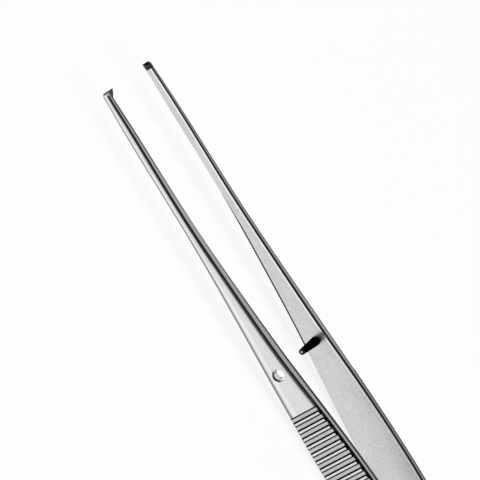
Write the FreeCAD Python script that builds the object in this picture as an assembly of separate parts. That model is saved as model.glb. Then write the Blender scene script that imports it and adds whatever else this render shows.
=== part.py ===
import FreeCAD, Part
import math
import os

Vector = FreeCAD.Vector

# Tissue forceps lying on its side: +X runs from the butt to the tips, +Y to the
# arm with the guide hole, and +Z across the width of the arms. It is drawn with
# its butt at X = 0 and handed over with X = 0 at the middle of its length.

# Driving dimensions in millimetres
length = 150.0               # from the butt to the tips
weld_length = 8.0            # stretch of the butt where the two arms are joined

# Spacing of the arms at rest, measured between their inner faces
opening_at_tips = 16.1
opening_at_pin = 14.5
opening_at_grip_back = 9.6
spring_slope = 0.152         # how steeply each arm leaves the weld
tip_slope = -0.01            # the tips lean in very slightly
tip_thinning = 0.025         # how fast each arm grows thinner at its tip

# Thickness of one arm
butt_thickness = 1.9
spring_thickness = 1.45      # the thin stretch that bends
grip_thickness = 2.05
pin_thickness = 2.25
neck_thickness = 1.95
shank_thickness = 1.72
tip_thickness = 1.2

# Width of one arm
butt_width = 7.2
handle_width = 8.0
grip_front_width = 5.7
pin_width = 4.4
neck_width = 2.55
shank_width = 1.45
tip_width = 1.2
waist_width = 1.1            # the tips are relieved just behind the teeth
tip_flare = 0.08             # slope at which each side widens again to the tip

# Places along the arms, measured back from the tips
shank_from_tips = 25.4
neck_from_tips = 39.4
pin_from_tips = 54.4
grip_from_tips = 61.8
shoulder_from_tips = 86.4    # the width is constant from here to the taper of the butt

# Places along the arms, measured forward from the butt
spring_from_butt = 22.0
taper_from_butt = 26.0

# Edges
shank_edge_radius = 0.95     # outer corners, just in front of the grip
tip_edge_radius = 0.38
handle_edge_bevel = 0.27     # outer edges of the handle and the butt
butt_corner_radius = 2.6

# Cross grooves of the grip
groove_count = 25
groove_pitch = 1.47
groove_mouth_width = 1.1
groove_floor_width = 0.62
groove_depth = 0.28

# Teeth: one on the rear arm that enters a notch between two on the front arm
tooth_height = 1.35
tooth_ramp = 1.3             # length over which a tooth rises from the inner face
tooth_base_width = 1.0
tooth_shoulder = 0.04        # how deep the single tooth is filed in beside its base
tooth_clearance = 0.06       # how much wider and deeper the notch is than the tooth
nose_length = 0.9            # stretch over which the outer face rounds down to the end
nose_share = 0.8             # share of the thickness that the nose rounds away
ramp_hollow = 0.15           # how far the back of a tooth is hollowed

# Guide pin of the rear arm and guide hole of the front arm
pin_base_diameter = 1.65
pin_end_diameter = 1.0
pin_stand = 5.85             # how far the pin stands out of the inner face
pin_end_chamfer = 0.12
rivet_diameter = 1.2
rivet_head_diameter = 1.9
rivet_head_depth = 0.4
guide_hole_diameter = 2.2
guide_hole_bevel = 0.12

# Worked out from the sizes above
pin_x = length - pin_from_tips
grip_front_x = length - grip_from_tips
grip_back_x = grip_front_x - groove_count * groove_pitch
shoulder_x = length - shoulder_from_tips
neck_x = length - neck_from_tips
shank_x = length - shank_from_tips
middle_z = handle_width / 2


def spline(points, start_slope, end_slope):
    """Smooth curve through (x, y) points in order of x, with the slopes at its ends."""
    curve = Part.BSplineCurve()
    curve.interpolate(Points=[Vector(x, y, 0) for x, y in points],
                      InitialTangent=Vector(1, start_slope, 0),
                      FinalTangent=Vector(1, end_slope, 0))
    return curve


def inner_curve():
    """Bow of the inner face, from the end of the weld to the tip."""
    return spline([(weld_length, 0),
                   (grip_back_x, opening_at_grip_back / 2),
                   (pin_x, opening_at_pin / 2),
                   (length, opening_at_tips / 2)],
                  spring_slope, tip_slope)


def seat_at(x):
    """Point of the inner face at x and the angle of the face there."""
    curve = inner_curve()
    low = curve.FirstParameter
    high = curve.LastParameter
    for step in range(40):
        middle = (low + high) / 2
        if curve.value(middle).x < x:
            low = middle
        else:
            high = middle
    tangent = curve.tangent(low)[0]
    return curve.value(low), math.atan2(tangent.y, tangent.x)


def on_arm(shape, x, offset):
    """Shape moved from the origin to the arm at x, offset out from the inner face.

    Its X axis comes to lie along the arm and its Y axis points out of the arm.
    """
    point, angle = seat_at(x)
    turn = FreeCAD.Rotation(Vector(0, 0, 1), math.degrees(angle))
    out = turn.multVec(Vector(0, offset, 0))
    moved = shape.copy()
    moved.Placement = FreeCAD.Placement(point + out + Vector(0, 0, middle_z), turn)
    return moved


def outer_point(x, thickness):
    """Point of the outer face at x."""
    point, angle = seat_at(x)
    return (x - thickness * math.sin(angle), point.y + thickness * math.cos(angle))


def outer_curve():
    """Outer face, from the weld to where the nose of the tip begins."""
    return spline([(weld_length, butt_thickness),
                   outer_point(spring_from_butt, spring_thickness),
                   outer_point(grip_back_x, grip_thickness),
                   outer_point(grip_front_x, grip_thickness),
                   outer_point(pin_x, pin_thickness),
                   outer_point(neck_x, neck_thickness),
                   outer_point(shank_x, shank_thickness),
                   outer_point(length - nose_length, tip_thickness)],
                  0, tip_slope - tip_thinning)


def nose_points(start):
    """End and middle of the arc that rounds the tip from its outer face to its end."""
    drop = tip_thickness * nose_share
    radius = (nose_length ** 2 + drop ** 2) / (2 * nose_length)
    centre = Vector(length - radius, start.y - drop, 0)
    half_turn = math.atan2(drop, radius - nose_length) / 2
    middle = centre + Vector(math.cos(half_turn), math.sin(half_turn), 0) * radius
    return Vector(length, centre.y, 0), middle


def side_profile():
    """Outline of one arm seen across its width, with its tooth."""
    inner = inner_curve()
    outer = outer_curve()
    base = seat_at(length - tooth_ramp)[0]
    inner_edge = inner.toShape(inner.FirstParameter, inner.parameter(base))
    outer_edge = outer.toShape()
    tip_y = opening_at_tips / 2
    apex = Vector(length, tip_y - tooth_height, 0)
    ramp_middle = (base + apex) * 0.5 + Vector(1, 1, 0) * ramp_hollow
    nose_start = outer.value(outer.LastParameter)
    nose_end, nose_middle = nose_points(nose_start)
    butt_inner = Vector(0, 0, 0)
    butt_outer = Vector(0, butt_thickness, 0)
    edges = [Part.makeLine(butt_inner, Vector(weld_length, 0, 0)),
             inner_edge,
             Part.Arc(base, ramp_middle, apex).toShape(),
             Part.makeLine(apex, nose_end),
             Part.Arc(nose_end, nose_middle, nose_start).toShape(),
             outer_edge,
             Part.makeLine(Vector(weld_length, butt_thickness, 0), butt_outer),
             Part.makeLine(butt_outer, butt_inner)]
    return Part.Face(Part.Wire(Part.__sortEdges__(edges)))


def plan_edges(side):
    """Edge of the plan outline on one side of the middle, from tip to butt."""
    flare = spline([(shoulder_x, side * handle_width / 2),
                    (grip_front_x, side * grip_front_width / 2),
                    (pin_x, side * pin_width / 2),
                    (neck_x, side * neck_width / 2),
                    (shank_x, side * shank_width / 2),
                    (length - 3 * tooth_ramp, side * tip_width / 2),
                    (length - tooth_ramp, side * waist_width / 2),
                    (length, side * tip_width / 2)],
                   0, side * tip_flare)
    half = side * handle_width / 2
    butt_half = side * butt_width / 2
    taper = spline([(butt_corner_radius, butt_half), (taper_from_butt, half)], 0, 0)
    corner_start = Vector(butt_corner_radius, butt_half, 0)
    corner_end = Vector(0, butt_half - side * butt_corner_radius, 0)
    slant = butt_corner_radius * (1 - math.sqrt(0.5))
    corner_middle = Vector(slant, butt_half - side * slant, 0)
    return [flare.toShape(),
            Part.makeLine(Vector(shoulder_x, half, 0), Vector(taper_from_butt, half, 0)),
            taper.toShape(),
            Part.Arc(corner_start, corner_middle, corner_end).toShape()]


def plan_profile():
    """Outline of one arm seen onto its outer face, drawn in X and Y."""
    half = tip_width / 2
    back = butt_width / 2 - butt_corner_radius
    edges = plan_edges(1) + plan_edges(-1)
    edges.append(Part.makeLine(Vector(length, half, 0), Vector(length, -half, 0)))
    edges.append(Part.makeLine(Vector(0, back, 0), Vector(0, -back, 0)))
    return Part.Face(Part.Wire(Part.__sortEdges__(edges)))


def sharp_arm():
    """The +Y arm with sharp edges: its side outline crossed with its plan outline."""
    side = side_profile().extrude(Vector(0, 0, handle_width))
    depth = 2 * opening_at_tips
    plan = plan_profile().extrude(Vector(0, 0, depth))
    plan.rotate(Vector(0, 0, 0), Vector(1, 0, 0), 90)
    plan.translate(Vector(0, depth - opening_at_tips / 2, middle_z))
    return side.common(plan)


def is_outer(edge):
    """Whether an edge lies on the outer side of the +Y arm."""
    middle = edge.valueAt((edge.FirstParameter + edge.LastParameter) / 2)
    inner_y = seat_at(middle.x)[0].y if middle.x > weld_length else 0
    return middle.y - inner_y > tip_thickness / 2


def bevelled_handle(blank):
    """Handle half of an arm, its outer edges broken by the same bevel all round."""
    edges = []
    for edge in blank.Edges:
        box = edge.BoundBox
        along = box.XLength > nose_length and box.YMax > butt_thickness / 2
        at_butt = box.XMax < butt_corner_radius / 2 and box.YMin > butt_thickness / 2
        if is_outer(edge) and (along or at_butt):
            edges.append(edge)
    return blank.makeChamfer(handle_edge_bevel, edges)


def rounded_shank(blank):
    """Shank half of an arm, its outer corners rounding off less towards the tip."""
    for side in (-1, 1):
        for edge in blank.Edges:
            long_edge = edge.BoundBox.XLength > 2 * tooth_ramp
            if long_edge and is_outer(edge) and side * (edge.CenterOfMass.z - middle_z) > 0:
                radii = (shank_edge_radius, tip_edge_radius)
                if edge.valueAt(edge.FirstParameter).x > edge.valueAt(edge.LastParameter).x:
                    radii = (tip_edge_radius, shank_edge_radius)
                blank = blank.makeFillet(*radii, [edge])
                break
    return blank


def grooves():
    """Cutters for the cross grooves of the grip, square to the outer face."""
    reach = handle_width
    mouth = groove_mouth_width / 2
    floor = groove_floor_width / 2
    above = 2 * groove_depth
    wide = mouth + (mouth - floor)
    outline = [Vector(-floor, 0, -reach), Vector(-wide, above, -reach),
               Vector(-wide, reach, -reach), Vector(wide, reach, -reach),
               Vector(wide, above, -reach), Vector(floor, 0, -reach)]
    bar = Part.Face(Part.makePolygon(outline + outline[:1])).extrude(Vector(0, 0, 2 * reach))
    bars = []
    for number in range(groove_count):
        x = grip_front_x - mouth - number * groove_pitch
        bars.append(on_arm(bar, x, grip_thickness - groove_depth))
    return Part.makeCompound(bars)


def plain_arm():
    """The +Y arm with its finished edges and its grip, before its own details."""
    blank = sharp_arm()
    split_x = grip_front_x - groove_mouth_width / 2
    front = Part.makeBox(length, 4 * opening_at_tips, 4 * handle_width,
                         Vector(split_x, -opening_at_tips, -handle_width))
    arm = bevelled_handle(blank.cut(front)).fuse(rounded_shank(blank.common(front)))
    return arm.cut(grooves())


def tip_prism(points):
    """Prism along the tip from an outline of (out, up) points at the inner face."""
    outline = [Vector(-2 * tooth_ramp, out, up) for out, up in points]
    prism = Part.Face(Part.makePolygon(outline + outline[:1])).extrude(Vector(3 * tooth_ramp, 0, 0))
    return on_arm(prism, length, 0)


def tooth_flanks():
    """What is filed away on both sides of the single tooth."""
    top = -2 * tooth_height
    run = tooth_base_width / 2
    wide = tip_width
    deeper = run * (1 + tooth_shoulder / tooth_height)
    sides = []
    for side in (-1, 1):
        sides.append(tip_prism([(-tooth_height, 0), (top, 0), (top, side * wide),
                                (tooth_shoulder, side * wide), (tooth_shoulder, side * deeper)]))
    return Part.makeCompound(sides)


def tooth_notch():
    """V notch between the two teeth, a clearance wider and deeper than the tooth."""
    top = 2 * tooth_height
    run = tooth_base_width / 2 * (top + tooth_clearance) / tooth_height
    return tip_prism([(tooth_clearance, 0), (-top, run), (-top, -run)])


def turned(points):
    """Solid turned about the Y axis from an outline of (radius, y) points."""
    outline = [Vector(radius, y, 0) for radius, y in points]
    face = Part.Face(Part.makePolygon(outline + outline[:1]))
    return face.revolve(Vector(0, 0, 0), Vector(0, 1, 0), 360)


def rivet():
    """Shank and countersunk head by which the guide pin is riveted in."""
    return turned([(0, 0), (rivet_diameter / 2, 0),
                   (rivet_diameter / 2, pin_thickness - rivet_head_depth),
                   (rivet_head_diameter / 2, pin_thickness), (0, pin_thickness)])


def front_arm():
    """Arm at +Y, with the guide hole and the notch between two teeth."""
    radius = guide_hole_diameter / 2
    wide = radius + guide_hole_bevel
    hole = turned([(0, -radius), (radius, -radius), (radius, pin_thickness - guide_hole_bevel),
                   (wide, pin_thickness), (wide, 2 * pin_thickness), (0, 2 * pin_thickness)])
    return plain_arm().cut(on_arm(hole, pin_x, 0)).cut(tooth_notch())


def rear_arm():
    """Arm at -Y, with the rivet hole of the pin and the single tooth."""
    arm = plain_arm().cut(on_arm(rivet(), pin_x, 0)).cut(tooth_flanks())
    return arm.mirror(Vector(0, 0, 0), Vector(0, 1, 0))


def guide_pin():
    """Tapered pin that stands on the inner face of the rear arm."""
    end = pin_end_diameter / 2
    stem = turned([(0, 0), (pin_base_diameter / 2, 0), (end, pin_end_chamfer - pin_stand),
                   (end - pin_end_chamfer, -pin_stand), (0, -pin_stand)])
    pin = on_arm(stem.fuse(rivet()), pin_x, 0)
    return pin.mirror(Vector(0, 0, 0), Vector(0, 1, 0))


os.makedirs("parts", exist_ok=True)
for name, make in (("front_arm", front_arm), ("rear_arm", rear_arm), ("guide_pin", guide_pin)):
    shape = make()
    shape.translate(Vector(-length / 2, 0, 0))
    print(name, shape.isValid(), len(shape.Solids), round(shape.Volume, 3))
    shape.exportStep("parts/" + name + ".step")
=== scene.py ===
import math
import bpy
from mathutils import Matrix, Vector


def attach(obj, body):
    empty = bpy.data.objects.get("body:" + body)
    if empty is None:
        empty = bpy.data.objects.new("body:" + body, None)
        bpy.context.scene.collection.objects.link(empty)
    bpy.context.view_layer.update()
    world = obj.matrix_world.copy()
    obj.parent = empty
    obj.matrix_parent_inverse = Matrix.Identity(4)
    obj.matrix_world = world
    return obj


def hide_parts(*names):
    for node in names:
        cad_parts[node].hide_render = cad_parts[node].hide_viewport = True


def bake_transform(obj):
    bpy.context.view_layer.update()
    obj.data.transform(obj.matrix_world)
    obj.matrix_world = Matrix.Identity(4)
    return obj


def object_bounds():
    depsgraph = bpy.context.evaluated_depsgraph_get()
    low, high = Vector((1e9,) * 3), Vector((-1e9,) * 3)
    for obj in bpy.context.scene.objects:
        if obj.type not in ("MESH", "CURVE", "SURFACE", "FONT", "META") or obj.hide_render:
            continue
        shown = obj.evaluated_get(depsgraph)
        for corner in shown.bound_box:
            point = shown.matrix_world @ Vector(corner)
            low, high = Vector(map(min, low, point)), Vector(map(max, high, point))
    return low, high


bl_info = {
    "name": "Tissue Forceps",
    "version": (1, 0, 0),
    "blender": (4, 5, 0),
    "location": "View3D > Sidebar > Forceps",
    "description": "Builds a pair of toothed spring forceps and its studio",
    "category": "Add Mesh",
}

import bmesh
import bpy
import numpy as np
from bpy.props import FloatProperty, FloatVectorProperty, IntProperty, PointerProperty
from mathutils import Matrix, Vector

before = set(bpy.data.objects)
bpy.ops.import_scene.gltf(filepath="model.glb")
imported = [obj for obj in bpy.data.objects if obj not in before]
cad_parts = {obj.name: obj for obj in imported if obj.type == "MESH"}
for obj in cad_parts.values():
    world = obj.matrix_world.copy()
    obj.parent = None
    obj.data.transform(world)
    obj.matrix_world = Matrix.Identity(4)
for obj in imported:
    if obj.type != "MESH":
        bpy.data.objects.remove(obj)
CAD_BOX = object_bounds()
LOW, HIGH = (Vector(corner) for corner in CAD_BOX)
MIDDLE_Z = (LOW.z + HIGH.z) / 2
MM = 0.001
HAIR = 0.01 * MM             # keeps neighbouring surfaces just apart


def length(name, millimetres, description):
    """A length property whose default is given in millimetres."""
    return FloatProperty(name=name, default=millimetres * MM, description=description,
                         subtype="DISTANCE", unit="LENGTH", precision=5)


def plain(name, value, description):
    """A property that is a plain number."""
    return FloatProperty(name=name, default=value, description=description, precision=4)


def colour(name, value, description):
    """A colour property."""
    return FloatVectorProperty(name=name, default=value, description=description,
                               subtype="COLOR", size=3, min=0, max=1)


class ForcepsArmSizes(bpy.types.PropertyGroup):
    """Bow, thickness and width of one spring arm."""

    weld: length("Weld", 8.0, "Stretch of the butt where the arms are joined")
    opening_grip_back: length("Opening behind the grip", 9.6, "Between the inner faces there")
    opening_pin: length("Opening at the pin", 14.5, "Between the inner faces there")
    opening_tips: length("Opening at the tips", 16.1, "Between the inner faces there")
    spring_slope: plain("Spring slope", 0.152, "Slope at which an arm leaves the weld")
    tip_slope: plain("Tip slope", -0.01, "Slope of an arm at its tip")
    butt_thickness: length("Butt thickness", 1.9, "Thickness of one arm at the butt")
    spring_thickness: length("Spring thickness", 1.45, "Thickness where the arm bends")
    grip_thickness: length("Grip thickness", 2.05, "Thickness of one arm at the grip")
    pin_thickness: length("Pin thickness", 2.25, "Thickness of one arm at the pin")
    neck_thickness: length("Neck thickness", 1.95, "Thickness between pin and shank")
    shank_thickness: length("Shank thickness", 1.72, "Thickness of the slender shank")
    tip_thickness: length("Tip thickness", 1.2, "Thickness just behind the nose")
    tip_thinning: plain("Tip thinning", 0.025, "How fast the arm thins at its tip")
    butt_width: length("Butt width", 7.2, "Width at the butt")
    handle_width: length("Handle width", 8.0, "Largest width")
    grip_front_width: length("Grip front width", 5.7, "Width at the first groove")
    pin_width: length("Pin width", 4.4, "Width at the pin")
    neck_width: length("Neck width", 2.55, "Width between pin and shank")
    shank_width: length("Shank width", 1.45, "Width of the slender shank")
    waist_width: length("Waist width", 1.1, "Width just behind the teeth")
    tip_width: length("Tip width", 1.2, "Width at the very tip")
    tip_flare: plain("Tip flare", 0.08, "Slope of each side at the very tip")
    shank_from_tips: length("Shank place", 25.4, "Measured back from the tips")
    neck_from_tips: length("Neck place", 39.4, "Measured back from the tips")
    pin_from_tips: length("Pin place", 54.4, "Measured back from the tips")
    grip_from_tips: length("Grip place", 61.8, "Measured back from the tips")
    shoulder_from_tips: length("Shoulder place", 86.4, "Where the full width is reached")
    spring_from_butt: length("Spring place", 22.0, "Measured from the butt")
    taper_from_butt: length("Taper place", 26.0, "Where the butt starts to taper")
    butt_corner: length("Butt corner", 2.6, "Radius of the butt's corners")
    crown_width: length("Crown width", 1.6, "Rounded strip along the outer face at the grip")
    crown_depth: length("Crown depth", 0.5, "How far that strip falls off at the grip")
    rear_crown_depth: length("Rear crown depth", 0.6, "The same on the rear arm")
    tip_crown_width: length("Tip crown width", 0.48, "Rounded strip at the tip")
    tip_crown_depth: length("Tip crown depth", 0.3, "How far that strip falls off at the tip")
    grip_edge: length("Grip edge", 0.45, "Rounded strip along the outer face of the handle")
    inner_edge: length("Inner edge", 0.08, "Radius of the edges of the inner face")
    # A painted highlight line along the upper inner edge, a painted dark reflection along the
    # lower one
    inner_line: length("Inner line", 0.22, "Polished line along one of them, dark along the other")
    # Painted dark reflections on the narrow sides: near-black strips by the inner face and by the
    # rear arm's outer face
    painted_dark_strip: length("Burnish", 0.7, "Dark strip on the narrow sides by the inner face")
    outer_painted_dark_strip: length("Outer burnish", 0.28, "Dark strip by the rear arm's outer face")


class ForcepsGripSizes(bpy.types.PropertyGroup):
    """Cross grooves of the grip."""

    count: IntProperty(name="Grooves", default=25, min=0, description="Number of grooves")
    pitch: length("Pitch", 1.47, "From one groove to the next")
    mouth_width: length("Mouth width", 1.12, "Width of a groove at the top of its walls")
    floor_width: length("Floor width", 0.54, "Width of a groove at its floor")
    depth: length("Groove depth", 0.28, "Depth of a groove")
    softness: plain("Softness", 0.2, "Share of a wall over which its ends are rounded")


class ForcepsToothSizes(bpy.types.PropertyGroup):
    """Teeth and nose of the tips."""

    height: length("Tooth height", 1.35, "How far the double teeth stand in")
    ramp: length("Ramp", 1.3, "Length over which a tooth rises")
    hollow: plain("Hollow", 1.6, "Power of the curve of the single tooth's ramp")
    bulge: plain("Bulge", 0.7, "Power of the curve of the double teeth's ramp")
    single_height: length("Single tooth height", 1.05, "How far the single tooth stands in")
    base_width: length("Base width", 1.0, "Width of the single tooth at its base")
    shoulder: length("Shoulder", 0.04, "Depth filed away beside the single tooth")
    clearance: length("Clearance", 0.06, "How much deeper the notch is than the tooth")
    nose_length: length("Nose length", 0.9, "Stretch over which the outer face rounds down")
    nose_share: plain("Nose share", 0.8, "Share of the thickness that the nose rounds away")
    # Painted shade and dark reflection over the end of the rear arm
    dark_end: length("Dark end", 1.3, "Darkened end of the arm with the single tooth")


class ForcepsPinSizes(bpy.types.PropertyGroup):
    """Guide pin, its rivet and the guide hole."""

    base_radius: length("Base radius", 0.825, "Radius of the pin at the arm")
    end_radius: length("End radius", 0.54, "Radius of the pin's flat end")
    stand: length("Stand", 5.85, "How far the pin stands out of the arm")
    end_chamfer: length("End chamfer", 0.12, "Edge break of the pin's end")
    rivet_radius: length("Rivet radius", 0.6, "Radius of the shank inside the arm")
    head_radius: length("Head radius", 0.95, "Radius of the countersunk head")
    head_depth: length("Head depth", 0.4, "Depth of the countersunk head")
    hole_radius: length("Hole radius", 1.1, "Radius of the guide hole")
    hole_bevel: length("Hole bevel", 0.06, "Edge break of the guide hole")
    hole_shade: length("Hole shade", 0.75, "Darkened stretch of the hole by the outer face")
    # Painted highlight: a bright spot in the middle of the pin's end
    end_spot: length("End spot", 0.16, "Radius of the bright spot on the pin's end")


class ForcepsFinish(bpy.types.PropertyGroup):
    """Colours and gloss of the steel, with painted shade, painted dark reflections and painted
    highlights.
    """

    outer_steel: colour("Outer steel", (0.89, 0.89, 0.89), "Brushed outer faces")
    inner_steel: colour("Inner steel", (0.66, 0.66, 0.66), "Matte inner faces")
    side_steel: colour("Side steel", (0.55, 0.55, 0.55), "Ground narrow sides")
    groove_steel: colour("Groove steel", (0.66, 0.66, 0.66), "Floors of the grooves")
    # Near black: painted shade on the walls of the grooves and of the guide hole, and a painted
    # dark reflection along the grip's upper edge
    wall_steel: colour("Wall steel", (0.012, 0.012, 0.012), "Walls of the grooves and the hole")
    # Near black: painted dark reflections along the edges of the inner faces and on the narrow
    # sides
    edge_steel: colour("Edge steel", (0.02, 0.02, 0.02), "Burnished edges of the inner faces")
    # Near black: painted shade and dark reflection on the teeth and the ends of the tips
    tooth_steel: colour("Tooth steel", (0.04, 0.04, 0.04), "Teeth and ends of the tips")
    # Near white: a painted highlight beside the inner face and in the guide hole
    line_steel: colour("Line steel", (0.96, 0.96, 0.96), "Polished line beside the inner face")
    # Near black, a painted dark reflection over the whole pin; near white, a painted highlight on
    # a small spot of its end
    pin_steel: colour("Pin steel", (0.012, 0.012, 0.012), "Guide pin")
    pin_end_steel: colour("Pin end steel", (0.7, 0.7, 0.7), "Flat end of the guide pin")
    outer_roughness: plain("Outer roughness", 0.2, "Roughness of the outer faces")
    inner_roughness: plain("Inner roughness", 0.26, "Roughness of the inner faces")
    side_roughness: plain("Side roughness", 0.25, "Roughness of the narrow sides")
    groove_roughness: plain("Groove roughness", 0.5, "Roughness of the grooves")
    pin_roughness: plain("Pin roughness", 0.22, "Roughness of the guide pin")
    pin_edge_tint: plain("Pin edge tint", 0.1, "Brightness of the pin at a grazing angle")


class ForcepsStudio(bpy.types.PropertyGroup):
    """Camera, floor and lights."""

    azimuth: plain("Camera azimuth", 174.44, "Degrees; 180 looks along -Y")
    elevation: plain("Camera elevation", 29.0, "Degrees above the floor")
    roll: plain("Camera roll", 60.82, "Degrees that the picture is turned")
    distance: length("Camera distance", 943.5, "From the camera to the point it looks at")
    aim: FloatVectorProperty(name="Aim", default=(0.04214, -0.00137, 0.00532), size=3,
                             subtype="XYZ", description="Point that the camera looks at",
                             precision=5)
    picture_height: length("Picture height", 79.41, "Height of the view at the aim point")
    floor_colour: colour("Floor", (0.17, 0.17, 0.17), "Colour of the floor")
    floor_glow: plain("Floor glow", 0.84, "Light that the floor adds where it is seen")
    floor_size: length("Floor size", 6000.0, "Side of the square floor")
    lamp_size: length("Lamp size", 1500.0, "Side of each of the two square lamps")
    lamp_power: plain("Lamp power", 17.0, "Power of each lamp, in watts")


def curve_through(places, heights, start_slope, end_slope):
    """Smooth curve through points with given end slopes, as a function of place."""
    x = np.array(places)
    y = np.array(heights)
    step = np.diff(x)
    rise = np.diff(y) / step
    system = np.zeros((len(x), len(x)))
    target = np.zeros(len(x))
    system[0, 0] = system[-1, -1] = 1
    target[0], target[-1] = start_slope, end_slope
    for i in range(1, len(x) - 1):
        system[i, i - 1:i + 2] = step[i], 2 * (step[i - 1] + step[i]), step[i - 1]
        target[i] = 3 * (step[i] * rise[i - 1] + step[i - 1] * rise[i])
    slope = np.linalg.solve(system, target)

    def value(place):
        i = np.clip(np.searchsorted(x, place, side="right") - 1, 0, len(step) - 1)
        t = (place - x[i]) / step[i]
        return ((1 + 2 * t) * (1 - t) ** 2 * y[i] + t * (1 - t) ** 2 * step[i] * slope[i]
                + t * t * (3 - 2 * t) * y[i + 1] + t * t * (t - 1) * step[i] * slope[i + 1])

    return value


def corner_drop(distance, width, depth):
    """How far a rounded edge lies below the face, at a distance from the outline."""
    inside = np.clip(1 - distance / width, 0, 1)
    return depth * (1 - np.sqrt(1 - inside ** 2))


WALL_MARGIN = 1.02           # how far round the guide hole a face counts as its wall
WIDEST_EDGE = 0.9            # largest rounded edge, as a share of the half width
# The dark line and the dark strips below are painted dark reflections
FAINTEST_LINE = 0.05         # share of the dark line's width left where it has faded out
SHANK_PAINTED_DARK = 0.25         # share of the front arm's dark strip left at its shank
PAINTED_DARK_SPREAD = 0.5         # how fast that share grows away from the shank
MOST_PAINTED_DARK = 0.35          # largest dark strip, as a share of the thickness
LEAST_BRIGHT = 0.12          # smallest bright strip, as a share of the thickness
FRONT_RIM = 0.02 * MM        # from the bright strip to the front arm's rounded edge


class ArmForm:
    """Shape of one arm in its own frame: X from the butt, Y out, Z from the middle.

    The side is 1 for the front arm, at +Y, and -1 for the rear arm.
    """

    def __init__(self, scene, side):
        self.side = side
        self.arm = scene.forceps_arm
        self.grip = scene.forceps_grip
        self.tooth = scene.forceps_tooth
        arm = self.arm
        self.length = HIGH.x - LOW.x
        self.grip_front = self.length - arm.grip_from_tips
        self.grip_back = self.grip_front - self.grip.count * self.grip.pitch
        self.pin_place = self.length - arm.pin_from_tips
        self.nose_place = self.length - self.tooth.nose_length
        self.hole_radius = scene.forceps_pin.hole_radius * WALL_MARGIN
        self.hole_shade = scene.forceps_pin.hole_shade
        self.bow = self.bow_curve()
        self.outer = self.outer_curve()
        self.flare = self.flare_curve()

    def bow_curve(self):
        """Inner face, from the end of the weld to the tip."""
        arm = self.arm
        return curve_through(
            [arm.weld, self.grip_back, self.pin_place, self.length],
            [0, arm.opening_grip_back / 2, arm.opening_pin / 2, arm.opening_tips / 2],
            arm.spring_slope, arm.tip_slope)

    def slope_at(self, x):
        """Slope of the inner face."""
        return (self.bow(x + MM) - self.bow(x - MM)) / (2 * MM)

    def outer_curve(self):
        """Outer face, from the end of the weld to the nose."""
        arm = self.arm
        stations = [(arm.spring_from_butt, arm.spring_thickness),
                    (self.grip_back, arm.grip_thickness),
                    (self.grip_front, arm.grip_thickness),
                    (self.pin_place, arm.pin_thickness),
                    (self.length - arm.neck_from_tips, arm.neck_thickness),
                    (self.length - arm.shank_from_tips, arm.shank_thickness),
                    (self.nose_place, arm.tip_thickness)]
        places = [arm.weld]
        heights = [arm.butt_thickness]
        for x, thickness in stations:
            angle = math.atan(self.slope_at(x))
            places.append(x - thickness * math.sin(angle))
            heights.append(float(self.bow(x)) + thickness * math.cos(angle))
        return curve_through(places, heights, 0, arm.tip_slope - arm.tip_thinning)

    def flare_curve(self):
        """Half width, from the shoulder to the tip."""
        arm = self.arm
        ramp = self.tooth.ramp
        places = [self.length - arm.shoulder_from_tips, self.grip_front, self.pin_place,
                  self.length - arm.neck_from_tips, self.length - arm.shank_from_tips,
                  self.length - 3 * ramp, self.length - ramp, self.length]
        widths = [arm.handle_width, arm.grip_front_width, arm.pin_width, arm.neck_width,
                  arm.shank_width, arm.tip_width, arm.waist_width, arm.tip_width]
        return curve_through(places, [width / 2 for width in widths], 0, arm.tip_flare)

    def inner_height(self, x):
        """Y of the inner face."""
        return np.where(x > self.arm.weld, self.bow(np.maximum(x, self.arm.weld)), 0)

    def outer_height(self, x):
        """Y of the outer face with the rounded nose, before its edges and grooves."""
        arm = self.arm
        nose = self.tooth.nose_length
        drop = arm.tip_thickness * self.tooth.nose_share
        radius = (nose ** 2 + drop ** 2) / (2 * nose)
        centre = self.outer(self.nose_place) - drop
        past = np.clip(x - (self.length - radius), 0, radius)
        rounded = centre + np.sqrt(np.maximum(radius ** 2 - past ** 2, 0))
        plain_face = np.where(x > arm.weld, self.outer(np.clip(x, arm.weld, self.nose_place)),
                              arm.butt_thickness)
        return np.where(x > self.nose_place, rounded, plain_face)

    def half_width(self, x):
        """Half the width of the arm."""
        arm = self.arm
        half = arm.handle_width / 2
        butt = arm.butt_width / 2
        radius = arm.butt_corner
        taper = curve_through([radius, arm.taper_from_butt], [butt, half], 0, 0)
        corner = butt - corner_drop(x, radius, radius)
        shoulder = self.length - arm.shoulder_from_tips
        width = np.where(x < arm.taper_from_butt, taper(np.clip(x, radius, arm.taper_from_butt)),
                         half)
        width = np.where(x < radius, corner, width)
        return np.where(x > shoulder, self.flare(np.maximum(x, shoulder)), width)

    def along_tooth(self, x):
        """How far along the ramp of the teeth a place is: 0 at its foot and 1 at the tip."""
        return np.clip((x - self.length + self.tooth.ramp) / self.tooth.ramp, 0, 1)

    def edge_size(self, x):
        """Width and depth of the rounded outer edges; they are narrow along the handle."""
        arm = self.arm
        share = np.minimum((self.length - x) / arm.grip_from_tips, 1)
        width = arm.tip_crown_width + share * (arm.crown_width - arm.tip_crown_width)
        width = np.where(x > self.grip_front, width, arm.grip_edge)
        grip_depth = arm.crown_depth if self.side > 0 else arm.rear_crown_depth
        depth = arm.tip_crown_depth + share * (grip_depth - arm.tip_crown_depth)
        return np.minimum(width, self.half_width(x) * WIDEST_EDGE), depth

    def dark_line(self, x):
        """Width of the painted dark reflection along the lower edge of the inner face, at the
        neck.
        """
        arm = self.arm
        fade = (arm.neck_from_tips - arm.shank_from_tips) / 2
        share = (self.length - arm.shank_from_tips - x) / fade
        share = np.where(x > self.pin_place, np.clip(share, FAINTEST_LINE, 1), FAINTEST_LINE)
        return arm.inner_line * share

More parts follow.
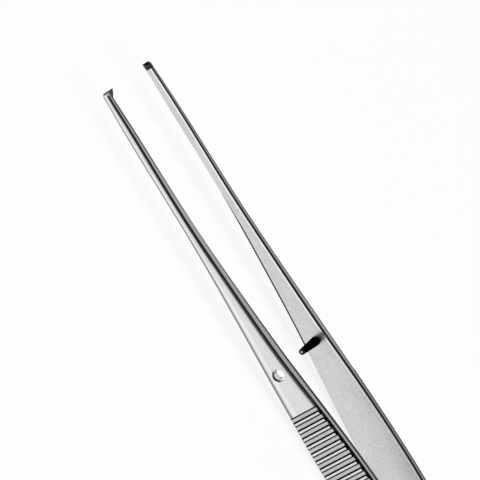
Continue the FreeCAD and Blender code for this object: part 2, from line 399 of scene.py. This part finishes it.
    def bright_strip(self, x):
        """Heights between which a narrow side is bright.

        The painted dark reflection below it is narrowest at the front arm's shank, and above it
        only the rear arm has a painted dark reflection.
        """
        arm = self.arm
        inner = self.inner_height(x)
        thickness = self.outer_height(x) - inner
        from_shank = np.abs(self.length - arm.shank_from_tips - x) / arm.shank_from_tips
        dark = arm.painted_dark_strip
        rim = arm.outer_painted_dark_strip
        if self.side > 0:
            dark = dark * np.minimum(SHANK_PAINTED_DARK + PAINTED_DARK_SPREAD * from_shank, 1)
            rim = FRONT_RIM
        low = inner + arm.inner_edge + np.minimum(dark, thickness * MOST_PAINTED_DARK)
        high = inner + thickness - self.edge_size(x)[1] - rim
        return low, np.maximum(high, low + LEAST_BRIGHT * thickness)

    def wall_share(self, x):
        """How far down a groove's wall a place is: 0 on a ridge and 1 on a floor."""
        grip = self.grip
        behind = self.grip_front - grip.mouth_width / 2 - x
        number = np.clip(np.round(behind / grip.pitch), 0, grip.count - 1)
        off = np.abs(behind - number * grip.pitch)
        run = (grip.mouth_width - grip.floor_width) / 2
        return np.clip((grip.mouth_width / 2 - off) / run, 0, 1)

    def groove_drop(self, x):
        """Depth of the cross grooves."""
        share = self.wall_share(x)
        soft = self.grip.softness
        foot = 1 - share
        eased = np.where(share < soft, share ** 2 / (2 * soft),
                         np.where(foot < soft, 1 - soft - foot ** 2 / (2 * soft),
                                  share - soft / 2))
        return self.grip.depth * eased / (1 - soft)


CORNER_STEPS = 12            # sections along the butt's rounded corners
HANDLE_STEP = 0.8 * MM       # from one section to the next, behind the grip
SHANK_STEP = 0.6 * MM        # the same in front of the grip
GRIP_END = 0.004 * MM        # from the first groove to the section that ends the grip
BEYOND_GRIP = 0.4 * MM       # from the first groove to the first section of the shank
TIP_STRETCH = 2.5 * MM       # finely divided stretch at the tip
TIP_SECTIONS = 46
CLOSEST_SECTIONS = 0.003 * MM
WALL_SHARES = (0, 0.1, 0.2, 0.5, 0.8, 0.9, 1)


def groove_stations(form):
    """Places along the grip: down both walls of every groove, and on its floor and ridge."""
    grip = form.grip
    run = (grip.mouth_width - grip.floor_width) / 2
    places = []
    for number in range(grip.count):
        centre = form.grip_front - grip.mouth_width / 2 - number * grip.pitch
        for share in WALL_SHARES:
            off = grip.mouth_width / 2 - run * share
            places += [centre - off, centre + off]
        places += [centre, centre - grip.pitch / 2]
    return places


def stations(form):
    """All the places along an arm at which it has a section."""
    arm = form.arm
    places = [0]
    for turn in range(1, CORNER_STEPS + 1):
        bend = 1 - math.cos(math.radians(90 / CORNER_STEPS * turn))
        places += [arm.butt_corner * bend, arm.grip_edge * bend]
    places += list(np.arange(arm.butt_corner, form.grip_back - MM, HANDLE_STEP))
    places += [arm.weld, arm.taper_from_butt]
    places += groove_stations(form) + [form.grip_front + GRIP_END]
    tip_start = form.length - TIP_STRETCH
    places += list(np.arange(form.grip_front + BEYOND_GRIP, tip_start, SHANK_STEP))
    places += list(np.linspace(tip_start, form.length, TIP_SECTIONS))
    places = sorted(places)
    kept = [places[0]]
    for place in places[1:]:
        if place - kept[-1] > CLOSEST_SECTIONS:
            kept.append(place)
    return np.array(kept)


def outline_distance(form, x, z, half, tilt):
    """Distance of points of the outer face from the arm's plan outline."""
    arm = form.arm
    radius = arm.butt_corner
    beside = (half - np.abs(z)) * tilt
    centre = arm.butt_width / 2 - radius
    around = radius - np.hypot(radius - x, np.maximum(np.abs(z) - centre, 0))
    return np.where(x < radius, np.minimum(around, x), beside)


INNER_COLUMNS = 21
OUTER_COLUMNS = 13
EDGE_STEPS = 8
INNER_EDGE_STEPS = 4
SLOPE_STEP = 0.02 * MM       # to each side, to take the slope of the plan outline
TOOTH_SHARPNESS = 0.85       # share of the inner edges' radius that is gone at the tip
DEEPEST_INSET = 0.96         # how far in a rounded edge may reach, as a share of the half width


def arm_sections(form, tooth_height):
    """Grids of X, Y and Z, with one row for each section."""
    x = stations(form)[:, None]
    half = form.half_width(x)
    rise = form.half_width(x + SLOPE_STEP) - form.half_width(x - SLOPE_STEP)
    widening = rise / (2 * SLOPE_STEP)
    tilt = 1 / np.sqrt(1 + np.where(x < form.arm.butt_corner, 0, widening) ** 2)
    inner_y = form.inner_height(x)
    outer_y = form.outer_height(x)
    edge_width, edge_depth = form.edge_size(x)
    soft = form.arm.inner_edge * (1 - TOOTH_SHARPNESS * form.along_tooth(x))

    inner_run = half - soft
    upper = inner_run - form.arm.inner_line
    lower = form.dark_line(x) - inner_run
    within = lower + (upper - lower) * np.linspace(0, 1, INNER_COLUMNS)[None, :]
    inner_z = np.hstack([-inner_run, within, inner_run])
    inner = inner_y - tooth_height(form, x, inner_z)

    turn = np.radians(np.linspace(0, 90, INNER_EDGE_STEPS + 1))[1:]
    inner_edge_z = half - soft + soft * np.sin(turn)[None, :]
    inner_edge_y = inner_y + soft * (1 - np.cos(turn))[None, :]
    low_y, high_y = form.bright_strip(x)

    bend = np.radians(np.linspace(0, 90, EDGE_STEPS + 1))
    inset = edge_width * (1 - np.cos(bend))[None, :] / tilt
    outer_edge_z = half - np.minimum(inset, half * DEEPEST_INSET)

    top = outer_edge_z[:, -1:]
    outer_z = top * np.linspace(1, -1, OUTER_COLUMNS + 2)[None, 1:-1]

    def face_y(z):
        drop = corner_drop(outline_distance(form, x, z, half, tilt), edge_width, edge_depth)
        return outer_y - np.maximum(drop, form.groove_drop(x))

    outer_edge_y = face_y(outer_edge_z)
    outer = face_y(outer_z)
    high_y = np.minimum(high_y, outer_edge_y[:, :1] - HAIR)

    z = np.hstack([inner_z, inner_edge_z, half, half, outer_edge_z, outer_z,
                   -outer_edge_z[:, ::-1], -half, -half, -inner_edge_z[:, ::-1]])
    y = np.hstack([inner, inner_edge_y, low_y, high_y, outer_edge_y, outer,
                   outer_edge_y[:, ::-1], high_y, low_y, inner_edge_y[:, ::-1]])
    return np.broadcast_to(x, z.shape), y, z


def arm_mesh(name, form, tooth_height):
    """Mesh of one arm."""
    x, y, z = arm_sections(form, tooth_height)
    rows, columns = x.shape
    points = np.stack([x + LOW.x, y * form.side, z + MIDDLE_Z], axis=-1).reshape(-1, 3)
    faces = []
    for row in range(rows - 1):
        for column in range(columns):
            a = row * columns + column
            b = row * columns + (column + 1) % columns
            faces.append((a, b, b + columns, a + columns))
    faces.append(tuple(range(columns - 1, -1, -1)))
    faces.append(tuple((rows - 1) * columns + column for column in range(columns)))
    if form.side > 0:
        faces = [face[::-1] for face in faces]
    mesh = bpy.data.meshes.new(name)
    mesh.from_pydata(points.tolist(), [], faces)
    mesh.validate()
    return mesh


def single_tooth(form, x, z):
    """Height of the ridge-shaped tooth above the inner face."""
    tooth = form.tooth
    along = form.along_tooth(x)
    blank = tooth.single_height * along ** tooth.hollow
    roof = tooth.single_height * (1 - np.abs(z) / (tooth.base_width / 2))
    return np.minimum(blank, np.maximum(roof, -tooth.shoulder)) * (along > 0)


def double_tooth(form, x, z):
    """Height of the two teeth beside the notch above the inner face."""
    tooth = form.tooth
    along = form.along_tooth(x)
    blank = tooth.height * along ** tooth.bulge
    notch = tooth.height * np.abs(z) / (tooth.base_width / 2) - tooth.clearance
    return np.minimum(blank, notch) * (along > 0)


def turned_mesh(name, outline, steps=64):
    """Closed mesh turned about the Y axis from (radius, y) points that end on it."""
    shape = bmesh.new()
    rings = []
    for radius, y in outline:
        if radius == 0:
            rings.append([shape.verts.new((0, y, 0))])
            continue
        ring = []
        for step in range(steps):
            angle = 2 * math.pi * step / steps
            ring.append(shape.verts.new((radius * math.cos(angle), y,
                                         radius * math.sin(angle))))
        rings.append(ring)
    for ring, following in zip(rings, rings[1:]):
        for step in range(steps):
            corners = [ring[step % len(ring)], ring[(step + 1) % len(ring)],
                       following[(step + 1) % len(following)], following[step % len(following)]]
            shape.faces.new(list(dict.fromkeys(corners)))
    bmesh.ops.recalc_face_normals(shape, faces=shape.faces)
    mesh = bpy.data.meshes.new(name)
    shape.to_mesh(mesh)
    shape.free()
    return mesh


def pin_frame(form, side):
    """Where the pin crosses an arm: origin on the inner face, Y out of the arm."""
    place = form.pin_place
    angle = math.atan(float(form.slope_at(place)))
    point = Vector((place + LOW.x, side * float(form.bow(place)), MIDDLE_Z))
    flip = Matrix.Diagonal((1, side, 1, 1))
    return Matrix.Translation(point) @ flip @ Matrix.Rotation(angle, 4, "Z")


def add_piece(name, mesh):
    """Object for a mesh, linked to the scene."""
    piece = bpy.data.objects.new(name, mesh)
    bpy.context.scene.collection.objects.link(piece)
    return piece


def cut_away(piece, cutter_mesh):
    """Cuts the shape of a mesh out of a piece."""
    cutter = add_piece("hole_cutter", cutter_mesh)
    cut = piece.modifiers.new("hole", "BOOLEAN")
    cut.object = cutter
    cut.operation = "DIFFERENCE"
    cut.solver = "EXACT"
    bpy.context.view_layer.update()
    result = bpy.data.meshes.new_from_object(
        piece.evaluated_get(bpy.context.evaluated_depsgraph_get()))
    piece.modifiers.clear()
    piece.data = result
    bpy.data.objects.remove(cutter)
    bpy.data.meshes.remove(cutter_mesh)


def smooth(mesh, degrees=40):
    """Smooth shading with sharp edges above an angle."""
    mesh.shade_smooth()
    mesh.set_sharp_from_angle(angle=math.radians(degrees))


class Signal:
    """A socket whose arithmetic adds Math nodes."""

    def __init__(self, finish, socket):
        self.finish = finish
        self.socket = socket

    def maths(self, operation, first, second):
        return self.finish.node("ShaderNodeMath", {"operation": operation}, {0: first, 1: second})

    def __add__(self, other):
        return self.maths("ADD", self, other)

    __radd__ = __add__

    def __sub__(self, other):
        return self.maths("SUBTRACT", self, other)

    def __rsub__(self, other):
        return self.maths("SUBTRACT", other, self)

    def __mul__(self, other):
        return self.maths("MULTIPLY", self, other)

    __rmul__ = __mul__


class Finish:
    """A node material or world under construction."""

    def __init__(self, tree):
        self.tree = tree
        tree.nodes.clear()

    def node(self, kind, settings, sockets, output=0):
        """Adds a node: its settings first, then its socket values and links."""
        made = self.tree.nodes.new(kind)
        for key, value in settings.items():
            if key == "stops":
                self.set_stops(made.color_ramp, value)
            else:
                setattr(made, key, value)
        for key, value in sockets.items():
            target = made.inputs[key]
            if isinstance(value, Signal):
                self.tree.links.new(value.socket, target)
            else:
                target.default_value = value
        if not made.outputs:
            return made
        return Signal(self, made.outputs[output])

    def set_stops(self, ramp, stops):
        """Stops of a ramp as (place, grey) pairs."""
        while len(ramp.elements) < len(stops):
            ramp.elements.new(0.5)
        for element, (place, grey) in zip(ramp.elements, stops):
            element.position = place
            element.color = (grey, grey, grey, 1)

    def stretched(self, scales):
        """Object coordinates in millimetres, stretched along each axis."""
        place = self.node("ShaderNodeTexCoord", {}, {}, "Object")
        factors = [scale / MM for scale in scales]
        return self.node("ShaderNodeVectorMath", {"operation": "MULTIPLY"},
                         {0: place, 1: factors})

    def noise(self, scales, detail=2.0, rough=0.5):
        """Noise whose grain has the given number of waves per millimetre."""
        return self.node("ShaderNodeTexNoise", {},
                         {"Vector": self.stretched(scales), "Scale": 1.0, "Detail": detail,
                          "Roughness": rough}, "Fac")


CLOUD_GRAIN = (0.12, 0.25, 0.25)
FLECKS_IN_TONE = 0.6
CLOUDS_IN_TONE = 0.5
MARKS_IN_GLOSS = 0.16
CLOUDS_IN_GLOSS = 0.08
FLECKS_IN_RELIEF = 0.5
RELIEF_DEPTH = 0.02 * MM


def steel(name, tint, roughness, grain, fleck, bump, variation, rim=(), edge_tint=1.0):
    """Steel with brush marks, fine flecks and uneven gloss.

    The rim gives stops of its tone from one narrow side, 0, over the face to the other, 1: a
    painted reflection, with a painted highlight and dark bands set by the face's normal.
    """
    material = bpy.data.materials.new(name)
    material.use_nodes = True
    finish = Finish(material.node_tree)
    marks = finish.noise(grain, 3.0, 0.6)
    flecks = finish.noise(fleck, 2.0, 0.5)
    clouds = finish.noise(CLOUD_GRAIN, 2.0, 0.5)
    tone = 1 + variation * ((marks - 0.5) + (flecks - 0.5) * FLECKS_IN_TONE
                            + (clouds - 0.5) * CLOUDS_IN_TONE)
    # Painted reflection: the tone follows the object-space normal's Z
    if rim:
        facing = finish.node("ShaderNodeTexCoord", {}, {}, "Normal")
        across = finish.node("ShaderNodeSeparateXYZ", {}, {"Vector": facing}, "Z")
        place = 0.5 + 0.5 * across
        tone = tone * finish.node("ShaderNodeValToRGB", {"stops": rim}, {"Fac": place})
    shade = finish.node("ShaderNodeVectorMath", {"operation": "SCALE"},
                        {0: tuple(tint), "Scale": tone})
    gloss = roughness + MARKS_IN_GLOSS * (marks - 0.5) + CLOUDS_IN_GLOSS * (clouds - 0.5)
    height = marks + flecks * FLECKS_IN_RELIEF
    relief = finish.node("ShaderNodeBump", {},
                         {"Strength": bump, "Distance": RELIEF_DEPTH, "Height": height})
    surface = finish.node("ShaderNodeBsdfPrincipled", {},
                          {"Base Color": shade, "Metallic": 1.0, "Roughness": gloss,
                           "Specular Tint": (edge_tint, edge_tint, edge_tint, 1),
                           "Normal": relief})
    finish.node("ShaderNodeOutputMaterial", {}, {"Surface": surface})
    return material


# Painted reflection on the outer faces: a painted highlight and dark bands along the rounded
# edges, by the normal's Z
PAINTED_REFLECTION_TONES = ((0.0, 0.20), (0.28, 0.22), (0.37, 0.45), (0.42, 0.95), (0.475, 1.0), (0.5, 0.85),
             (0.6, 0.82), (0.7, 0.58), (0.78, 0.36), (0.86, 0.20), (0.93, 0.09), (1.0, 0.03))
# Slots WALL, EDGE and TOOTH are near black, for painted shade and painted dark reflections; LINE
# is a painted highlight
OUTER, INNER, SIDE, GROOVE, WALL, EDGE, TOOTH, LINE = range(8)
BRUSHED_FLECKS = (3.0, 6.0, 6.0)
MATTE_FLECKS = (6.0, 6.0, 6.0)
CUT_GRAIN = (3.0, 6.0, 2.0)


def arm_materials(finish):
    """Finishes of an arm, in the order of the slots named above."""
    return [
        steel("brushed_outer_steel_and_painted_reflection", finish.outer_steel, finish.outer_roughness,
              grain=(0.25, 9.0, 9.0), fleck=BRUSHED_FLECKS, bump=0.35, variation=0.30,
              rim=PAINTED_REFLECTION_TONES),
        steel("matte_inner_steel", finish.inner_steel, finish.inner_roughness,
              grain=(2.2, 2.6, 2.6), fleck=MATTE_FLECKS, bump=0.5, variation=0.55),
        steel("ground_side_steel", finish.side_steel, finish.side_roughness,
              grain=(0.3, 8.0, 8.0), fleck=BRUSHED_FLECKS, bump=0.3, variation=0.20),
        steel("matte_groove_steel", finish.groove_steel, finish.groove_roughness,
              grain=CUT_GRAIN, fleck=MATTE_FLECKS, bump=0.5, variation=0.45),
        # Painted shade: near-black walls
        steel("wall_painted_shade_steel", finish.wall_steel, finish.side_roughness,
              grain=CUT_GRAIN, fleck=MATTE_FLECKS, bump=0.4, variation=0.40),
        steel("edge_painted_reflection_steel", finish.edge_steel, finish.side_roughness,
              grain=(0.3, 6.0, 6.0), fleck=BRUSHED_FLECKS, bump=0.3, variation=0.40),
        steel("tooth_painted_shade_steel", finish.tooth_steel, finish.inner_roughness,
              grain=(4.0, 4.0, 4.0), fleck=(8.0, 8.0, 8.0), bump=0.4, variation=0.50),
        steel("line_painted_highlight_steel", finish.line_steel, finish.outer_roughness,
              grain=(0.3, 8.0, 8.0), fleck=BRUSHED_FLECKS, bump=0.2, variation=0.10),
    ]


def grip_slot(form, place):
    """Slot of a face of the grip: the walls of its grooves get painted shade and its upper edge a
    painted dark reflection, both near black.
    """
    if float(form.half_width(place.x)) - place.z < form.arm.grip_edge:
        return WALL
    share = float(form.wall_share(place.x))
    if share == 0:
        return OUTER
    return WALL if share < 1 else GROOVE


def inner_slot(form, place):
    """Slot of a face of the inner side: a painted highlight line above, a painted dark reflection
    line below at the neck.
    """
    beside = float(form.half_width(place.x)) - abs(place.z) - form.arm.inner_edge
    if place.z > 0:
        return LINE if beside < form.arm.inner_line else INNER
    at_neck = form.pin_place < place.x < form.length - form.arm.shank_from_tips
    return EDGE if at_neck and beside < float(form.dark_line(place.x)) else INNER


# Limits on the parts of a face's normal, by which it gets its finish
STEEP_WALL = 0.5             # the guide hole's wall faces out or in less than this
MOSTLY = 0.7                 # the painted-shade end's outer face faces out, a blunt tip forward
INNER_FACING = 0.71          # the inner face faces in by more than this
SIDE_FACING = 0.9            # a narrow side faces sideways by more than this
NOT_OUT = 0.06               # and out or in by less than this
TOOTH_FOOT = 0.1 * MM        # a tooth gets painted shade below this height over the inner face


def face_slot(form, place, normal, around_hole):
    """Slot of a face of an arm, from its place and normal in the arm's own frame.

    Around the hole, X is the distance from its axis and Y the height along it.
    """
    x = place.x
    rise = place.y - float(form.inner_height(x))
    # The guide hole's wall: painted shade by the outer face, a painted highlight further in
    if around_hole.x < form.hole_radius and abs(normal.y) < STEEP_WALL:
        return WALL if around_hole.y > form.arm.pin_thickness - form.hole_shade else LINE
    # Painted shade and dark reflection on the rear arm's end, the teeth and the blunt tips
    if form.side < 0 and x > form.length - form.tooth.dark_end and normal.y < MOSTLY:
        return TOOTH
    if x > form.length - form.tooth.ramp and (rise < TOOTH_FOOT or normal.x > MOSTLY):
        return TOOTH
    if normal.y < -INNER_FACING:
        return inner_slot(form, place)
    if abs(normal.z) > SIDE_FACING and abs(normal.y) < NOT_OUT:
        low, high = form.bright_strip(x)
        return SIDE if low < place.y < high else EDGE
    # Other inward-facing faces get the near-black painted dark reflection too
    if normal.y < 0:
        return EDGE
    if form.grip_back < x < form.grip_front:
        return grip_slot(form, place)
    return OUTER if normal.y > NOT_OUT else SIDE


def paint_arm(mesh, form, materials):
    """Gives every face of an arm its finish."""
    for material in materials:
        mesh.materials.append(material)
    from_arm = pin_frame(form, 1).inverted()
    for face in mesh.polygons:
        centre = Vector((face.center.x, face.center.y * form.side, face.center.z))
        place = centre - Vector((LOW.x, 0, MIDDLE_Z))
        normal = Vector((face.normal.x, face.normal.y * form.side, face.normal.z))
        local = from_arm @ centre
        around_hole = Vector((math.hypot(local.x, local.z), local.y))
        face.material_index = face_slot(form, place, normal, around_hole)


class FORCEPS_OT_front_arm(bpy.types.Operator):
    """Build the arm with the guide hole and the notch between two teeth"""

    bl_idname = "forceps.front_arm"
    bl_label = "Front Arm"

    def execute(self, context):
        scene = context.scene
        form = ArmForm(scene, 1)
        pin = scene.forceps_pin
        mesh = arm_mesh("front_arm_shape", form, double_tooth)
        arm = add_piece("front_arm_steel", mesh)
        thick = form.arm.pin_thickness
        wide = pin.hole_radius + pin.hole_bevel
        bevel = pin.hole_bevel
        hole = turned_mesh("guide_hole", [
            (0, -thick), (wide, -thick), (wide, 0), (pin.hole_radius, bevel),
            (pin.hole_radius, thick - pin.hole_shade), (pin.hole_radius, thick - bevel),
            (wide, thick), (wide, 2 * thick), (0, 2 * thick)])
        hole.transform(pin_frame(form, 1))
        cut_away(arm, hole)
        paint_arm(arm.data, form, arm_materials(scene.forceps_finish))
        smooth(arm.data)
        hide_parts("front_arm")
        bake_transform(arm)
        return {"FINISHED"}


class FORCEPS_OT_rear_arm(bpy.types.Operator):
    """Build the arm that carries the guide pin and the single tooth"""

    bl_idname = "forceps.rear_arm"
    bl_label = "Rear Arm"

    def execute(self, context):
        scene = context.scene
        form = ArmForm(scene, -1)
        pin = scene.forceps_pin
        mesh = arm_mesh("rear_arm_shape", form, single_tooth)
        arm = add_piece("rear_arm_steel", mesh)
        thick = form.arm.pin_thickness
        hole = turned_mesh("rivet_hole", [
            (0, -thick), (pin.rivet_radius, -thick), (pin.rivet_radius, thick - pin.head_depth),
            (pin.head_radius, thick), (pin.head_radius, 2 * thick), (0, 2 * thick)])
        hole.transform(pin_frame(form, -1))
        hole.flip_normals()
        cut_away(arm, hole)
        paint_arm(arm.data, form, arm_materials(scene.forceps_finish))
        smooth(arm.data)
        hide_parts("rear_arm")
        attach(arm, "rear")
        return {"FINISHED"}


class FORCEPS_OT_guide_pin(bpy.types.Operator):
    """Build the tapered guide pin with its rivet"""

    bl_idname = "forceps.guide_pin"
    bl_label = "Guide Pin"

    def execute(self, context):
        scene = context.scene
        form = ArmForm(scene, -1)
        pin = scene.forceps_pin
        finish = scene.forceps_finish
        thick = form.arm.pin_thickness
        mesh = turned_mesh("guide_pin_shape", [
            (0, -pin.stand), (pin.end_spot, -pin.stand),
            (pin.end_radius - pin.end_chamfer, -pin.stand),
            (pin.end_radius, pin.end_chamfer - pin.stand), (pin.base_radius, -HAIR),
            (pin.rivet_radius - HAIR, 0), (pin.rivet_radius - HAIR, thick - pin.head_depth),
            (pin.head_radius - HAIR, thick), (0, thick)])
        mesh.transform(pin_frame(form, -1))
        mesh.flip_normals()
        turned = {"grain": (2.0, 14.0, 2.0), "fleck": (5.0, 5.0, 5.0), "bump": 0.2,
                  "variation": 0.3}
        mesh.materials.append(steel("pin_painted_dark_reflection_steel", finish.pin_steel, finish.pin_roughness,
                                    edge_tint=finish.pin_edge_tint, **turned))
        mesh.materials.append(steel("pin_end_painted_highlight_steel", finish.pin_end_steel,
                                    finish.pin_roughness, **turned))
        # Only the small fan in the middle of the end gets the painted highlight
        for face in mesh.polygons:
            at_end = len(face.vertices) == 3 and face.center.y > -pin.stand
            face.material_index = int(at_end)
        smooth(mesh, 30)
        piece = add_piece("guide_pin_steel", mesh)
        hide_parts("guide_pin")
        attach(piece, "rear")
        return {"FINISHED"}


def floor_material(tint, glow):
    """Pale matte floor, lifted to white where it is seen or mirrored."""
    material = bpy.data.materials.new("pale_floor")
    material.use_nodes = True
    finish = Finish(material.node_tree)
    matte = finish.node("ShaderNodeBsdfDiffuse", {}, {"Color": (*tint, 1)})
    seen = finish.node("ShaderNodeLightPath", {}, {}, "Is Camera Ray")
    mirrored = finish.node("ShaderNodeLightPath", {}, {}, "Is Glossy Ray")
    through = finish.node("ShaderNodeLightPath", {}, {}, "Is Transmission Ray")
    lift = finish.node("ShaderNodeEmission", {},
                       {"Color": (1, 1, 1, 1), "Strength": glow * (seen + mirrored + through)})
    surface = finish.node("ShaderNodeAddShader", {}, {0: matte, 1: lift})
    finish.node("ShaderNodeOutputMaterial", {}, {"Surface": surface})
    return material


# Tones of the studio from the camera's side of the object, 0, over the dark ceiling to
# the pale wall behind the object, 1
STUDIO_TONES = ((0.0, 0.12), (0.10, 0.05), (0.3, 0.02), (0.74, 0.02), (0.80, 0.05),
                (0.875, 0.50), (0.935, 0.65), (1.0, 0.80))


def studio_world():
    """Dim studio with a pale wall behind the object and a dark ceiling."""
    world = bpy.data.worlds.new("studio")
    world.use_nodes = True
    bpy.context.scene.world = world
    finish = Finish(world.node_tree)
    direction = finish.node("ShaderNodeTexCoord", {}, {}, "Generated")
    ahead = finish.node("ShaderNodeSeparateXYZ", {}, {"Vector": direction}, "Y")
    light = finish.node("ShaderNodeValToRGB", {"stops": STUDIO_TONES}, {"Fac": 0.5 - 0.5 * ahead})
    glow = finish.node("ShaderNodeBackground", {}, {"Color": light, "Strength": 1.0})
    finish.node("ShaderNodeOutputWorld", {}, {"Surface": glow})


LAMP_REACH = 1.1             # metres along the forceps, and up
LAMP_OUT = 0.25              # metres to the front arm's side
CLIP_END = 20                # metres, beyond the floor's far edge


def add_lamp(name, place, target, size, power):
    """Square area lamp that faces a point."""
    data = bpy.data.lights.new(name, "AREA")
    data.shape = "SQUARE"
    data.size = size
    data.energy = power
    lamp = bpy.data.objects.new(name, data)
    lamp.location = place
    lamp.rotation_euler = (Vector(target) - Vector(place)).to_track_quat("-Z", "Y").to_euler()
    bpy.context.scene.collection.objects.link(lamp)


def add_camera(studio):
    """Camera at the photograph's viewing angle."""
    data = bpy.data.cameras.new("camera")
    data.sensor_fit = "HORIZONTAL"
    data.lens = data.sensor_width * studio.distance / studio.picture_height
    data.clip_end = CLIP_END
    azimuth = math.radians(studio.azimuth)
    elevation = math.radians(studio.elevation)
    towards = Vector((math.sin(azimuth) * math.cos(elevation),
                      -math.cos(azimuth) * math.cos(elevation), math.sin(elevation)))
    turn = towards.to_track_quat("Z", "Y").to_matrix().to_4x4()
    camera = bpy.data.objects.new("camera", data)
    place = Matrix.Translation(Vector(studio.aim) + towards * studio.distance)
    camera.matrix_world = place @ turn @ Matrix.Rotation(math.radians(studio.roll), 4, "Z")
    bpy.context.scene.collection.objects.link(camera)
    bpy.context.scene.camera = camera


class FORCEPS_OT_studio(bpy.types.Operator):
    """Set up the floor, the lights and the camera"""

    bl_idname = "forceps.studio"
    bl_label = "Studio"

    def execute(self, context):
        studio = context.scene.forceps_studio
        context.scene.view_settings.view_transform = "Standard"
        half = studio.floor_size / 2
        mesh = bpy.data.meshes.new("floor_shape")
        mesh.from_pydata([(-half, -half, 0), (half, -half, 0), (half, half, 0), (-half, half, 0)],
                         [], [(0, 1, 2, 3)])
        mesh.materials.append(floor_material(studio.floor_colour, studio.floor_glow))
        add_piece("floor", mesh)
        studio_world()
        for name, side in (("lamp_by_tips", 1), ("lamp_by_butt", -1)):
            add_lamp(name, (side * LAMP_REACH, LAMP_OUT, LAMP_REACH), (0, 0, 0),
                     studio.lamp_size, studio.lamp_power)
        add_camera(studio)
        return {"FINISHED"}


class FORCEPS_PT_panel(bpy.types.Panel):
    """Buttons that build the forceps"""

    bl_label = "Tissue Forceps"
    bl_space_type = "VIEW_3D"
    bl_region_type = "UI"
    bl_category = "Forceps"

    def draw(self, context):
        for operator in OPERATORS:
            self.layout.operator(operator.bl_idname)


OPERATORS = (FORCEPS_OT_front_arm, FORCEPS_OT_rear_arm, FORCEPS_OT_guide_pin, FORCEPS_OT_studio)
SETTINGS = {
    "forceps_arm": ForcepsArmSizes,
    "forceps_grip": ForcepsGripSizes,
    "forceps_tooth": ForcepsToothSizes,
    "forceps_pin": ForcepsPinSizes,
    "forceps_finish": ForcepsFinish,
    "forceps_studio": ForcepsStudio,
}


def register():
    """Registers the classes and hangs the settings on the scene."""
    for group in SETTINGS.values():
        bpy.utils.register_class(group)
    for name, group in SETTINGS.items():
        setattr(bpy.types.Scene, name, PointerProperty(type=group))
    for operator in OPERATORS:
        bpy.utils.register_class(operator)
    bpy.utils.register_class(FORCEPS_PT_panel)


def unregister():
    """Undoes register."""
    bpy.utils.unregister_class(FORCEPS_PT_panel)
    for operator in reversed(OPERATORS):
        bpy.utils.unregister_class(operator)
    for name, group in SETTINGS.items():
        delattr(bpy.types.Scene, name)
        bpy.utils.unregister_class(group)


def main():
    """Builds everything."""
    register()
    bpy.ops.forceps.front_arm()
    bpy.ops.forceps.rear_arm()
    bpy.ops.forceps.guide_pin()
    bpy.ops.forceps.studio()


if __name__ == "__main__":
    main()
